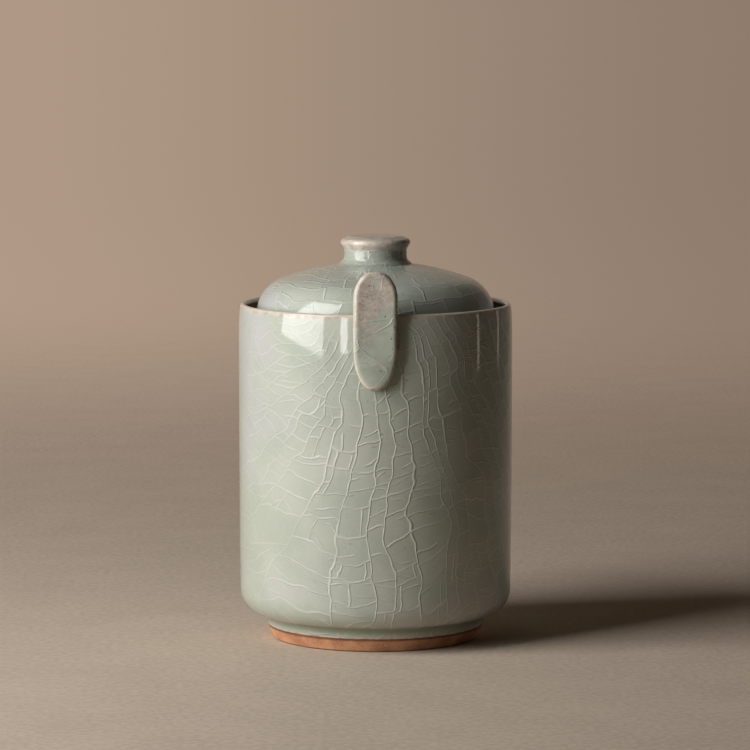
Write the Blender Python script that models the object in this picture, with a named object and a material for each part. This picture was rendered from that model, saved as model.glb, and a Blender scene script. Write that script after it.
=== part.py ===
"""Lidded ceramic tea caddy: a thrown jar with a recessed domed lid, a bare clay foot
and a small tab hooked over the lip. Metres, +Z up, standing on the plane Z = 0.

The jar's axis stands a little behind the origin, so that the origin is the centre of
the whole footprint, tab included."""

import math

import bmesh
import bpy

# Jar, outside. Heights are above the table, and depths are below the lip.
BODY_RADIUS = 0.0450
LIP_HEIGHT = 0.1103
LIP_THICKNESS = 0.0019
LIP_DRAW_IN = 0.0005
LIP_DRAW_DEPTH = 0.0036
WIDEST_DEPTH = 0.0153
BELLY_HEIGHT = 0.0500
BODY_TAPER = 0.0005
BELLY_TAPER = 0.0001
HEEL_RADIUS = 0.0080
HEEL_HEIGHT = 0.0082

# Foot. The glaze ends at the top of the bare clay ring.
FOOT_RADIUS = 0.0340
FOOT_SPREAD = 0.0016
FOOT_HEIGHT = 0.0041
FOOT_WIDTH = 0.0050
FOOT_ROUNDING = 0.0006
GLAZE_OVERHANG = 0.0003
COVE_SPREAD = 0.0006
COVE_ROUNDING = 0.0015
RECESS_DEPTH = 0.0070

# Jar, inside.
WALL_THICKNESS = 0.0042
FLOOR_THICKNESS = 0.0055
FLOOR_ROUNDING = 0.0070
LEDGE_DEPTH = 0.0053
LEDGE_WIDTH = 0.0062
LEDGE_THICKNESS = 0.0060
LEDGE_ROUNDING = 0.0006

# Lid.
LID_REVEAL = 0.0034
BRIM_EDGE = 0.0011
BRIM_ROUNDING = 0.0008
SHOULDER_RADIUS = 0.0130
DOME_RADIUS = 0.0920
DOME_THICKNESS = 0.0045
DOME_ROUNDING = 0.0050
FLANGE_GAP = 0.0028
FLANGE_DEPTH = 0.0078
FLANGE_WIDTH = 0.0038
FLANGE_ROUNDING = 0.0010
GROOVE_TOP = 0.0010
GROOVE_HEIGHT = 0.0036
GROOVE_DEPTH = 0.0014

# Knob. It meets the lid part of the way up the cove between dome and neck.
KNOB_RADIUS = 0.0116
NECK_RADIUS = 0.0103
NECK_COVE = 0.0030
KNOB_SEAT_RISE = 0.0005
NECK_HEIGHT = 0.0022
DISC_THICKNESS = 0.0042
DISC_FLAT_RADIUS = 0.0070
DISC_CROWN = 0.0009
DISC_ROUNDING = 0.0013
UNDERCUT_ROUNDING = 0.0008

# Seal: a band in the flange's groove, with lips that reach for the throat.
SEAL_BAND = 0.0014
SEAL_LIP_ROOT = 0.0008
SEAL_LIP_TIP = 0.0004
SEAL_LIP_RISE = 0.0004

# Tab: a tongue with a dished face, and the hook that hangs it on the lip.
TAB_WIDTH = 0.0141
TAB_RISE = 0.0141
TAB_DROP = 0.0241
TAB_THICKNESS = 0.0025
TAB_TOP_ROUND = 0.0090
TAB_FOOT_ROUND = 0.0130
TAB_CURVE_POWER = 2.1
TAB_RIM_WIDTH = 0.0013
TAB_DISH_DEPTH = 0.0005
TAB_DISH_SLOPE = 0.0014
TAB_ROUNDING = 0.0007
HOOK_WIDTH = 0.0080
HOOK_THICKNESS = 0.0022
HOOK_DROP = 0.0038
HOOK_ROUNDING = 0.0009
HOOK_LID_CLEARANCE = 0.0007

# Gap kept between pieces that touch.
SEAT_GAP = 0.0003

TURN_STEPS = 48
KNOB_STEPS = 36
LEAST_ROUNDING_STEPS = 2
ROUNDING_CHORD = 0.0022
ARC_STEPS = 6
TAB_STEPS = 10
MERGE_DISTANCE = 0.000001

# Heights and radii that follow from the sizes above.
LIP_RADIUS = BODY_RADIUS - LIP_DRAW_IN
POCKET_RADIUS = LIP_RADIUS - LIP_THICKNESS
LEDGE_HEIGHT = LIP_HEIGHT - LEDGE_DEPTH
THROAT_RADIUS = POCKET_RADIUS - LEDGE_WIDTH
FOOT_TOP_RADIUS = FOOT_RADIUS + FOOT_SPREAD
LID_RADIUS = POCKET_RADIUS - LID_REVEAL
FLANGE_RADIUS = THROAT_RADIUS - FLANGE_GAP
GROOVE_RADIUS = FLANGE_RADIUS - GROOVE_DEPTH
TAB_BACK = BODY_RADIUS + SEAT_GAP
TAB_FRONT = TAB_BACK + TAB_THICKNESS
AXIS_SETBACK = (TAB_FRONT - BODY_RADIUS) / 2

# Centres of the lid's arcs, above the underside of its brim.
SHOULDER_HEIGHT = BRIM_EDGE
SHOULDER_CENTRE = LID_RADIUS - SHOULDER_RADIUS
DOME_HEIGHT = SHOULDER_HEIGHT - math.sqrt((DOME_RADIUS - SHOULDER_RADIUS) ** 2 - SHOULDER_CENTRE**2)
CROWN_HEIGHT = DOME_HEIGHT + DOME_RADIUS
COVE_CENTRE = NECK_RADIUS + NECK_COVE
COVE_HEIGHT = DOME_HEIGHT + math.sqrt((DOME_RADIUS + NECK_COVE) ** 2 - COVE_CENTRE**2)
KNOB_SEAT = CROWN_HEIGHT + KNOB_SEAT_RISE


def clear_scene():
    for item in list(bpy.data.objects):
        bpy.data.objects.remove(item)


def finish(name, colour, roughness, coat=0.0):
    material = bpy.data.materials.new(name)
    material.use_nodes = True
    shader = material.node_tree.nodes["Principled BSDF"]
    shader.inputs["Base Color"].default_value = (*colour, 1.0)
    shader.inputs["Roughness"].default_value = roughness
    shader.inputs["Metallic"].default_value = 0.0
    shader.inputs["Coat Weight"].default_value = coat
    return material


def celadon_glaze(name):
    return finish(name, (0.46, 0.47, 0.39), 0.22, 0.5)


def thin_glaze(name):
    return finish(name, (0.48, 0.43, 0.35), 0.30, 0.4)


def bare_clay(name):
    return finish(name, (0.45, 0.20, 0.10), 0.80)


def silicone(name):
    return finish(name, (0.62, 0.60, 0.55), 0.55)


def arc(centre, radius, start, end):
    """Points of an arc round centre, from one angle to another, counted from +X."""
    angles = [start + (end - start) * step / ARC_STEPS for step in range(ARC_STEPS + 1)]
    return [
        (centre[0] + radius * math.cos(angle), centre[1] + radius * math.sin(angle))
        for angle in angles
    ]


def rounded(corners):
    """An outline from (x, y) points and (x, y, rounding) corners, each rounded by an arc."""
    points = []
    for index, corner in enumerate(corners):
        rounding = corner[2] if len(corner) > 2 else 0
        if not rounding:
            points.append((corner[0], corner[1]))
            continue
        here = complex(corner[0], corner[1])
        before = complex(*corners[index - 1][:2]) - here
        after = complex(*corners[(index + 1) % len(corners)][:2]) - here
        before /= abs(before)
        after /= abs(after)
        half = math.acos((before * after.conjugate()).real) / 2
        centre = here + (before + after) / abs(before + after) * rounding / math.sin(half)
        first = here + before * rounding / math.tan(half) - centre
        last = here + after * rounding / math.tan(half) - centre
        turn = math.atan2((last / first).imag, (last / first).real)
        steps = max(LEAST_ROUNDING_STEPS, round(abs(turn) * rounding / ROUNDING_CHORD))
        for step in range(steps + 1):
            angle = turn * step / steps
            place = centre + first * complex(math.cos(angle), math.sin(angle))
            points.append((place.real, place.imag))
    return points


def add_piece(name, mesh, material, parent, location=(0, 0, 0)):
    bmesh.ops.remove_doubles(mesh, verts=mesh.verts, dist=MERGE_DISTANCE)
    bmesh.ops.recalc_face_normals(mesh, faces=mesh.faces)
    data = bpy.data.meshes.new(name)
    mesh.to_mesh(data)
    mesh.free()
    data.materials.append(material)
    data.shade_smooth()
    data.set_sharp_from_angle(angle=math.radians(40))
    piece = bpy.data.objects.new(name, data)
    bpy.context.collection.objects.link(piece)
    piece.parent = parent
    piece.location = location
    return piece


def add_axis(name, location, parent=None):
    axis = bpy.data.objects.new(name, None)
    bpy.context.collection.objects.link(axis)
    axis.parent = parent
    axis.location = location
    return axis


def turned(outline, closed=False, steps=TURN_STEPS):
    """A mesh turned about Z from (radius, height) points. A closed outline makes a ring."""
    mesh = bmesh.new()
    points = [mesh.verts.new((radius, 0, height)) for radius, height in outline]
    ends = points[1:] + points[:1] if closed else points[1:]
    edges = [mesh.edges.new(pair) for pair in zip(points, ends)]
    bmesh.ops.spin(
        mesh,
        geom=points + edges,
        cent=(0, 0, 0),
        axis=(0, 0, 1),
        angle=math.tau,
        steps=steps,
        use_merge=True,
    )
    return mesh


def make_jar_body(parent):
    neck_bottom = FOOT_HEIGHT + SEAT_GAP
    neck_radius = FOOT_TOP_RADIUS + GLAZE_OVERHANG
    recess_radius = FOOT_TOP_RADIUS - FOOT_WIDTH
    wall_foot = BODY_RADIUS - BODY_TAPER
    floor_height = RECESS_DEPTH + FLOOR_THICKNESS
    inside_foot = wall_foot - WALL_THICKNESS
    inside_top = BODY_RADIUS - WALL_THICKNESS
    ledge_foot = LEDGE_HEIGHT - LEDGE_THICKNESS
    ledge_slope = inside_top - THROAT_RADIUS
    lip_rounding = LIP_THICKNESS / 2
    outline = rounded([
        (0, RECESS_DEPTH),
        (recess_radius - COVE_ROUNDING, RECESS_DEPTH, COVE_ROUNDING),
        (recess_radius, neck_bottom),
        (neck_radius, neck_bottom),
        (neck_radius + COVE_SPREAD, HEEL_HEIGHT, COVE_ROUNDING),
        (wall_foot, HEEL_HEIGHT, HEEL_RADIUS),
        (BODY_RADIUS - BELLY_TAPER, BELLY_HEIGHT),
        (BODY_RADIUS, LIP_HEIGHT - WIDEST_DEPTH),
        (BODY_RADIUS, LIP_HEIGHT - LIP_DRAW_DEPTH),
        (LIP_RADIUS, LIP_HEIGHT, lip_rounding),
        (POCKET_RADIUS, LIP_HEIGHT, lip_rounding),
        (POCKET_RADIUS, LEDGE_HEIGHT, LEDGE_ROUNDING),
        (THROAT_RADIUS, LEDGE_HEIGHT, LEDGE_ROUNDING),
        (THROAT_RADIUS, ledge_foot, LEDGE_ROUNDING),
        (inside_top, ledge_foot - ledge_slope, COVE_ROUNDING),
        (inside_foot, floor_height, FLOOR_ROUNDING),
        (0, floor_height),
    ])
    add_piece("jar_body", turned(outline), celadon_glaze("jar_glaze"), parent)


def make_foot_ring(parent):
    inside_top = FOOT_TOP_RADIUS - FOOT_WIDTH
    outline = rounded([
        (inside_top, 0, FOOT_ROUNDING),
        (FOOT_RADIUS, 0, FOOT_ROUNDING),
        (FOOT_TOP_RADIUS, FOOT_HEIGHT),
        (inside_top, FOOT_HEIGHT),
    ])
    add_piece("foot_ring", turned(outline, closed=True), bare_clay("foot_clay"), parent)


def cove_angle(height):
    """Angle on the cove's arc, seen from its centre, at a height above the lid's brim."""
    return math.pi - math.asin((height - COVE_HEIGHT) / NECK_COVE)


def make_lid_shell(parent):
    dome_end = math.atan2(SHOULDER_HEIGHT - DOME_HEIGHT, SHOULDER_CENTRE)
    dome_start = math.atan2(COVE_HEIGHT - DOME_HEIGHT, COVE_CENTRE)
    bore = FLANGE_RADIUS - FLANGE_WIDTH
    inner_dome = DOME_RADIUS - DOME_THICKNESS
    bore_top = DOME_HEIGHT + math.sqrt(inner_dome**2 - bore**2)
    inner_end = math.atan2(bore_top - DOME_HEIGHT - DOME_ROUNDING, bore - DOME_ROUNDING)
    inner_dome_points = arc((0, DOME_HEIGHT), inner_dome, inner_end, math.pi / 2)
    cove = arc((COVE_CENTRE, COVE_HEIGHT), NECK_COVE, cove_angle(KNOB_SEAT), dome_start + math.pi)
    dome = arc((0, DOME_HEIGHT), DOME_RADIUS, dome_start, dome_end)
    shoulder = arc((SHOULDER_CENTRE, SHOULDER_HEIGHT), SHOULDER_RADIUS, dome_end, 0)
    under = rounded([
        shoulder[-1],
        (LID_RADIUS, 0, BRIM_ROUNDING),
        (FLANGE_RADIUS, 0, BRIM_ROUNDING),
        (FLANGE_RADIUS, -GROOVE_TOP),
        (GROOVE_RADIUS, -GROOVE_TOP),
        (GROOVE_RADIUS, -GROOVE_TOP - GROOVE_HEIGHT),
        (FLANGE_RADIUS, -GROOVE_TOP - GROOVE_HEIGHT),
        (FLANGE_RADIUS, -FLANGE_DEPTH, FLANGE_ROUNDING),
        (bore, -FLANGE_DEPTH, FLANGE_ROUNDING),
        (bore, bore_top - DOME_ROUNDING),
    ])
    outline = [(0, KNOB_SEAT)] + cove + dome[1:] + shoulder[1:] + under[1:] + inner_dome_points
    add_piece("lid_shell", turned(outline), celadon_glaze("lid_glaze"), parent)


def make_lid_knob(parent):
    """Heights are above the knob's seat on the lid."""
    foot = KNOB_SEAT + SEAT_GAP
    cove = [
        (radius, height - foot)
        for radius, height in arc(
            (COVE_CENTRE, COVE_HEIGHT), NECK_COVE, cove_angle(foot), math.pi
        )
    ]
    under_disc = cove[-1][1] + NECK_HEIGHT
    top = under_disc + DISC_THICKNESS
    above_neck = rounded([
        cove[-1],
        (NECK_RADIUS, under_disc, UNDERCUT_ROUNDING),
        (KNOB_RADIUS, under_disc, DISC_ROUNDING),
        (KNOB_RADIUS, top - DISC_CROWN, DISC_ROUNDING),
        (DISC_FLAT_RADIUS, top, DISC_ROUNDING),
        (0, top),
    ])
    outline = [(0, 0)] + cove + above_neck[1:]
    piece = turned(outline, steps=KNOB_STEPS)
    add_piece("lid_knob", piece, celadon_glaze("knob_glaze"), parent, (0, 0, foot))


def make_lid_seal(parent):
    inner = GROOVE_RADIUS + SEAT_GAP
    band = inner + SEAL_BAND
    reach = THROAT_RADIUS - SEAT_GAP
    top = -GROOVE_TOP - SEAT_GAP
    foot = -GROOVE_TOP - GROOVE_HEIGHT + SEAT_GAP
    outline = [(inner, foot), (band, foot)]
    for lip in (foot + SEAL_LIP_RISE, top - SEAL_LIP_ROOT - SEAL_LIP_RISE):
        outline += [
            (band, lip),
            (reach, lip + SEAL_LIP_RISE),
            (reach, lip + SEAL_LIP_RISE + SEAL_LIP_TIP),
            (band, lip + SEAL_LIP_ROOT),
        ]
    outline += [(band, top), (inner, top)]
    add_piece("lid_seal", turned(outline, closed=True), silicone("seal_silicone"), parent)


def tongue(inset, reach):
    """The tab's outline, drawn in by inset, at a distance in front of the jar's axis."""
    half_width = TAB_WIDTH / 2 - inset
    points = []
    for step in range(4 * TAB_STEPS):
        angle = math.tau * step / (4 * TAB_STEPS)
        across = math.copysign(abs(math.cos(angle)) ** (2 / TAB_CURVE_POWER), math.cos(angle))
        along = abs(math.sin(angle)) ** (2 / TAB_CURVE_POWER)
        if math.sin(angle) > 0:
            height = TAB_RISE - TAB_TOP_ROUND + (TAB_TOP_ROUND - inset) * along
        else:
            height = TAB_FOOT_ROUND - TAB_DROP - (TAB_FOOT_ROUND - inset) * along
        points.append((half_width * across, LIP_RADIUS - reach, height))
    return points


def make_hook(parent, location):
    """The strap over the lip and the finger behind it, cut from one rounded outline.
    The outline runs in distance behind the lip's outside, and height above the lip."""
    half_width = HOOK_WIDTH / 2
    pocket = math.sqrt(POCKET_RADIUS**2 - half_width**2)
    finger_front = LIP_RADIUS - pocket + SEAT_GAP
    finger_back = LIP_RADIUS - LID_RADIUS - HOOK_LID_CLEARANCE
    root = LIP_RADIUS - TAB_BACK - TAB_THICKNESS / 2
    strap_top = SEAT_GAP + HOOK_THICKNESS
    outline = rounded([
        (root, SEAT_GAP),
        (finger_front, SEAT_GAP, SEAT_GAP),
        (finger_front, -HOOK_DROP, HOOK_ROUNDING),
        (finger_back, -HOOK_DROP, HOOK_ROUNDING),
        (finger_back, strap_top, HOOK_ROUNDING),
        (root, strap_top),
    ])
    mesh = bmesh.new()
    side = [mesh.verts.new((-half_width, behind, height)) for behind, height in outline]
    face = mesh.faces.new(side)
    extruded = bmesh.ops.extrude_face_region(mesh, geom=[face])["geom"]
    moved = [item for item in extruded if isinstance(item, bmesh.types.BMVert)]
    bmesh.ops.translate(mesh, verts=moved, vec=(HOOK_WIDTH, 0, 0))
    hook = add_piece("tab_hook", mesh, thin_glaze("hook_glaze"), parent, location)
    hook.hide_render = True
    hook.display_type = "WIRE"
    return hook


def make_front_tab(parent):
    """Heights are above the lip, and the tab's origin is where its hook rests on it."""
    location = (0, -LIP_RADIUS, LIP_HEIGHT)
    rim_inset = TAB_ROUNDING
    dish_edge = TAB_RIM_WIDTH
    loops = [
        tongue(rim_inset, TAB_BACK),
        tongue(0, TAB_BACK + TAB_ROUNDING),
        tongue(0, TAB_FRONT - TAB_ROUNDING),
        tongue(rim_inset, TAB_FRONT),
        tongue(dish_edge, TAB_FRONT),
        tongue(dish_edge + TAB_DISH_SLOPE, TAB_FRONT - TAB_DISH_DEPTH),
    ]
    mesh = bmesh.new()
    rings = [[mesh.verts.new(point) for point in loop] for loop in loops]
    for lower, upper in zip(rings, rings[1:]):
        for index in range(len(lower)):
            after = (index + 1) % len(lower)
            mesh.faces.new((lower[index], lower[after], upper[after], upper[index]))
    mesh.faces.new(rings[0])
    mesh.faces.new(rings[-1])
    tab = add_piece("front_tab", mesh, thin_glaze("tab_glaze"), parent, location)
    union = tab.modifiers.new("hook", "BOOLEAN")
    union.operation = "UNION"
    union.object = make_hook(parent, location)


def main():
    clear_scene()
    caddy_axis = add_axis("caddy_axis", (0, AXIS_SETBACK, 0))
    lid_axis = add_axis("lid_axis", (0, 0, LEDGE_HEIGHT + SEAT_GAP), caddy_axis)
    make_jar_body(caddy_axis)
    make_foot_ring(caddy_axis)
    make_front_tab(caddy_axis)
    make_lid_seal(lid_axis)
    make_lid_shell(lid_axis)
    make_lid_knob(lid_axis)


main()
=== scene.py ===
import math

import bmesh
import bpy
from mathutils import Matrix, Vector, noise


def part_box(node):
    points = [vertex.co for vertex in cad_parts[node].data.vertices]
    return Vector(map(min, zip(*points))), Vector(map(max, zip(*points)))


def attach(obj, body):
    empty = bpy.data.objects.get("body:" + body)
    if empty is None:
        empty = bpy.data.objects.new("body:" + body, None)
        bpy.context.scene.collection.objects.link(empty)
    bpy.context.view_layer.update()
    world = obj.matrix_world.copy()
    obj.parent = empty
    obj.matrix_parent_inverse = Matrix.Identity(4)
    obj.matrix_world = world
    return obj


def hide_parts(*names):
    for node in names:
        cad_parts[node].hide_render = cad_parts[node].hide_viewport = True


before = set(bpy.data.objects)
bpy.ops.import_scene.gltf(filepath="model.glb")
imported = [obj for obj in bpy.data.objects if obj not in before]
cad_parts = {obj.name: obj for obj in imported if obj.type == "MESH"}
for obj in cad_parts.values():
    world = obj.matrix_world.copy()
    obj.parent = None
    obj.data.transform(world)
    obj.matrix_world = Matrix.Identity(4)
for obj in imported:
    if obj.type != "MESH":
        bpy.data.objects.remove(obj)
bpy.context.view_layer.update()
jarLow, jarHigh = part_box("jar_body")
footLow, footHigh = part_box("foot_ring")
lidLow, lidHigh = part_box("lid_shell")
knobLow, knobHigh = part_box("lid_knob")
sealLow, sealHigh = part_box("lid_seal")
tabLow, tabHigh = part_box("front_tab")
axisY = (jarLow.y + jarHigh.y) / 2  # the jar's axis stands a little behind the origin
mm = 1000  # shapes are in metres, and materials in millimetres
mergeDistance = 1e-6
print("frame loaded:", len(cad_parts), "nodes")


class Wire:
    # a shader socket that Python maths can be written on

    def __init__(self, paint, socket):
        self.paint = paint
        self.socket = socket

    def maths(self, operation, *values):
        return self.paint.add("ShaderNodeMath", {"operation": operation}, values)

    def __add__(self, other):
        return self.maths("ADD", self, other)

    __radd__ = __add__

    def __sub__(self, other):
        return self.maths("SUBTRACT", self, other)

    def __rsub__(self, other):
        return self.maths("SUBTRACT", other, self)

    def __mul__(self, other):
        return self.maths("MULTIPLY", self, other)

    __rmul__ = __mul__

    def __truediv__(self, other):
        return self.maths("DIVIDE", self, other)

    def __rtruediv__(self, other):
        return self.maths("DIVIDE", other, self)

    def __pow__(self, other):
        return self.maths("POWER", self, other)

    def __abs__(self):
        return self.maths("ABSOLUTE", self)

    def least(self, other):
        return self.maths("MINIMUM", self, other)

    def most(self, other):
        return self.maths("MAXIMUM", self, other)

    def above(self, other):
        # 1 where this is more than the other, and 0 elsewhere
        return self.maths("GREATER_THAN", self, other)

    def angleFrom(self, other):
        return self.maths("ARCTAN2", self, other)


class Paint:
    # one material's nodes

    def __init__(self, name, **fixed):
        self.material = bpy.data.materials.new(name)
        self.material.use_nodes = True
        self.tree = self.material.node_tree
        self.shader = self.tree.nodes["Principled BSDF"]
        for socket, value in fixed.items():
            self.shader.inputs[socket.replace("_", " ")].default_value = value

    def add(self, kind, settings, values, output=0):
        node = self.tree.nodes.new(kind)
        for setting, value in settings.items():
            setattr(node, setting, value)
        for key, value in values.items() if isinstance(values, dict) else enumerate(values):
            if isinstance(value, Wire):
                self.tree.links.new(value.socket, node.inputs[key])
            else:
                node.inputs[key].default_value = value
        return Wire(self, node.outputs[output])

    def feed(self, socket, wire):
        self.tree.links.new(wire.socket, self.shader.inputs[socket])

    def spot(self):
        # object coordinates in millimetres from the jar's axis
        place = self.add("ShaderNodeTexCoord", {}, {}, "Object")
        moved = self.vector("SUBTRACT", place, (0, axisY, 0))
        return self.vector("MULTIPLY", moved, (mm, mm, mm))

    def vector(self, operation, *values):
        return self.add("ShaderNodeVectorMath", {"operation": operation}, values)

    def split(self, wire):
        node = self.tree.nodes.new("ShaderNodeSeparateXYZ")
        self.tree.links.new(wire.socket, node.inputs[0])
        return [Wire(self, out) for out in node.outputs]

    def height(self, spot):
        return self.split(spot)[2]

    def radius(self, spot):
        x, y, _ = self.split(spot)
        return (x * x + y * y) ** 0.5

    def mix(self, factor, first, second):
        return self.add("ShaderNodeMix", {"data_type": "RGBA"}, {0: factor, 6: first, 7: second}, 2)

    def ramp(self, wire, start, end, low=0.0, high=1.0):
        # eases from low to high as the wire goes from start to end
        values = (wire, start, end, low, high)
        return self.add("ShaderNodeMapRange", {"interpolation_type": "SMOOTHSTEP"}, values)

    def noise(self, spot, size, detail, output="Fac"):
        values = {"Vector": spot, "Scale": 1 / size, "Detail": detail}
        return self.add("ShaderNodeTexNoise", {}, values, output)

    def patches(self, spot, size, detail, *ramp):
        return self.ramp(self.noise(spot, size, detail), *ramp)

    def ragged(self, wire, spot, size, detail, reach):
        # the wire with a noise round 0 added
        return wire + (self.noise(spot, size, detail) - 0.5) * reach

    def stagger(self, spot, size, reach, detail=1):
        # moves each spot by up to reach, as softly as size is long
        drift = self.noise(spot, size, detail, "Color")
        drift = self.vector("SUBTRACT", drift, (0.5, 0.5, 0.5))
        drift = self.vector("MULTIPLY", drift, (2 * reach, 2 * reach, 2 * reach))
        return self.vector("ADD", spot, drift)

    def wander(self, spot, cracks):
        # a wide soft drift and a small kink, so that cracks don't run straight
        bent = self.stagger(spot, cracks["driftSize"], cracks["drift"])
        return self.stagger(bent, cracks["kinkSize"], cracks["kink"], 2)

    def stripes(self, wire):
        # distance to the nearest line of an uneven row, and three random numbers for each stripe
        row = {"voronoi_dimensions": "1D", "feature": "DISTANCE_TO_EDGE"}
        values = {"W": wire, "Scale": 1}
        edge = self.add("ShaderNodeTexVoronoi", row, values, "Distance")
        chance = self.add("ShaderNodeTexVoronoi", {**row, "feature": "F1"}, values, "Color")
        return edge, self.split(chance)

    def cells(self, spot, size):
        # distance to the nearest wall between cells, and three random numbers for each cell
        values = {"Vector": spot, "Scale": 1 / size}
        edge = self.add("ShaderNodeTexVoronoi", {"feature": "DISTANCE_TO_EDGE"}, values, "Distance")
        chance = self.add("ShaderNodeTexVoronoi", {"feature": "F1"}, values, "Color")
        return edge * size, self.split(chance)

    def dots(self, spot, scale, *ramp):
        # small round dots, by the distance to scattered points
        return self.ramp(self.add("ShaderNodeTexVoronoi", {}, {"Vector": spot, "Scale": scale}), *ramp)

    def bump(self, height, depth, under=None):
        values = {"Strength": 1.0, "Distance": depth, "Height": height}
        if under:
            values["Normal"] = under
        return self.add("ShaderNodeBump", {}, values)


def arc(centre, radius, start, end, steps):
    # outline points on an arc, angles from the outline's +X
    angles = [start + (end - start) * step / steps for step in range(steps + 1)]
    return [(centre[0] + radius * math.cos(a), centre[1] + radius * math.sin(a)) for a in angles]


def wireOutline(corners, closed=False, segments=8):
    # (radius, height) corners, each rounded where it has a third number
    bm = bmesh.new()
    verts = [bm.verts.new((corner[0], 0, corner[1])) for corner in corners]
    for first, second in zip(verts, verts[1:] + verts[:1] if closed else verts[1:]):
        bm.edges.new((first, second))
    for vert, corner in zip(verts, corners):
        if len(corner) < 3:
            continue
        before, after = [edge.other_vert(vert).co - vert.co for edge in vert.link_edges]
        reach = corner[2] / math.tan(before.angle(after) / 2)
        bmesh.ops.bevel(
            bm, geom=[vert], offset=reach, offset_type="OFFSET", segments=segments,
            profile=0.5, affect="VERTICES", material=-1,
        )
    return bm


def close(bm):
    bmesh.ops.remove_doubles(bm, verts=bm.verts, dist=mergeDistance)
    bmesh.ops.recalc_face_normals(bm, faces=bm.faces)


def turn(bm, steps):
    # spins an outline into a closed turned shape round the jar's axis
    bmesh.ops.spin(
        bm, geom=bm.verts[:] + bm.edges[:], cent=(0, 0, 0), axis=(0, 0, 1),
        angle=math.tau, steps=steps, use_merge=True,
    )
    close(bm)


def handle(bm, thrown):
    # the small unevenness of a hand-thrown wall, outwards and inwards
    shift = Vector((thrown["unevenSeed"], 0, 0))
    for vert in bm.verts:
        place = Vector((vert.co.x, vert.co.y, vert.co.z / 2))
        out = Vector((vert.co.x, vert.co.y, 0))
        if out.length > thrown["unevenness"]:
            wave = noise.noise(place / thrown["unevenSize"] + shift)
            vert.co += out.normalized() * wave * thrown["unevenness"]


def makePiece(name, bm, material, body, node, sharp=60):
    bmesh.ops.translate(bm, verts=bm.verts, vec=(0, axisY, 0))
    mesh = bpy.data.meshes.new(name)
    bm.to_mesh(mesh)
    bm.free()
    mesh.materials.append(material)
    mesh.shade_smooth()
    mesh.set_sharp_from_angle(angle=math.radians(sharp))
    piece = bpy.data.objects.new(name, mesh)
    bpy.context.collection.objects.link(piece)
    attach(piece, body)
    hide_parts(node)
    print(name, len(mesh.polygons), "faces")
    return piece


# rows of numbers in the finishes: a ramp is where it starts and ends, then from how much to how
# much it goes if that isn't 0 to 1; Noise is a noise's size and detail, Ragged is these two and
# its reach, and Patches is these two and a ramp
glaze = {
    "celadon": (0.438, 0.458, 0.388, 1),
    "celadonDeep": (0.382, 0.416, 0.342, 1),
    "celadonPale": (0.476, 0.490, 0.430, 1),
    "blush": (0.462, 0.452, 0.458, 1),
    "pooled": (0.262, 0.292, 0.214, 1),
    "thin": (0.424, 0.336, 0.268, 1),
    "thinEdge": (0.576, 0.496, 0.416, 1),
    "crest": (0.608, 0.568, 0.48, 1),
    # painted shade, for the pocket round the lid
    "paintedPocketShade": (0.10, 0.058, 0.038, 1),
    "grit": (0.24, 0.196, 0.152, 1),
    "crackLine": (0.555, 0.565, 0.515, 1),
    "speck": (0.128, 0.104, 0.08, 1),
    "coat": {"Coat_Weight": 0.82, "Coat_Roughness": 0.045, "Coat_IOR": 1.45},
    "specular": 0.15,
    "mottlePatches": (16, 3, 0.35, 0.68),
    "grainPatches": (0.9, 2, 0.45, 0.75, 0, 0.35),
    "hazeNoise": (27, 3),
    "haze": (0.50, 0.74, 0, 0.7),
    "thinPatches": (2.4, 3, 0.35, 0.65),
    "gritPatches": (0.75, 3, 0.50, 0.64),
    "crackTint": 0.78,
    "crackHidden": 0.6,  # by thin glaze
    "speckScale": 0.42,
    "speckDepth": 0.8,
    "ridgeDepth": 0.00016,
    "roughness": 0.28,
    "roughnessNoise": (5, 2),
    "roughnessVaries": 0.04,
    "roughnessThin": 0.06,
    "roughnessBare": 0.4,
}
fewSpots = {
    "grit": 0,
    "specks": (0.05, 0.11, 0.75, 0),
    "speckPatches": (3.1, 1, 0.60, 0.66),
    "peelNoise": (2.6, 3),
    "peelDepth": 0.000006,
}
manySpots = {
    "grit": 0.55,
    "specks": (0.07, 0.15, 0.75, 0),
    "speckPatches": (3.1, 1, 0.48, 0.54),
    "peelNoise": (1.2, 3),
    "peelDepth": 0.000042,
}


def crackRidge(paint, edge, width):
    # 1 along a crack, easing to 0 at width millimetres from it
    return paint.ramp(edge, 0, width, 1, 0)


web = {
    "apart": (1.4, 0.84, 0, 2),  # a finer crack stops this near a coarser one
    "narrow": (7.0, 5.4, 0, 9),  # and narrow strips have none along them
    "rays": (0.55, 0.57, 0, 9),  # the share of cells parted along
    "splits": (0.58, 0.60, 0, 9),  # and then across
    "widths": (0.42, 0.44, 0.40, 0.40),
    "strengths": (1.0, 1.0, 1.0, 0.95),
    "fadePatches": (15, 2, 0.36, 0.56, 0.78, 1.0),
    "gapPatches": (10, 2, 0.44, 0.60, 0.05, 0.7),
    "hairline": (2.2, 3.9),  # strips narrower than this fade and break off
    "rungShuffle": 50,
    "rayShuffle": (31, 57),
    "splitShuffle": (43, 29),
}


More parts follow.
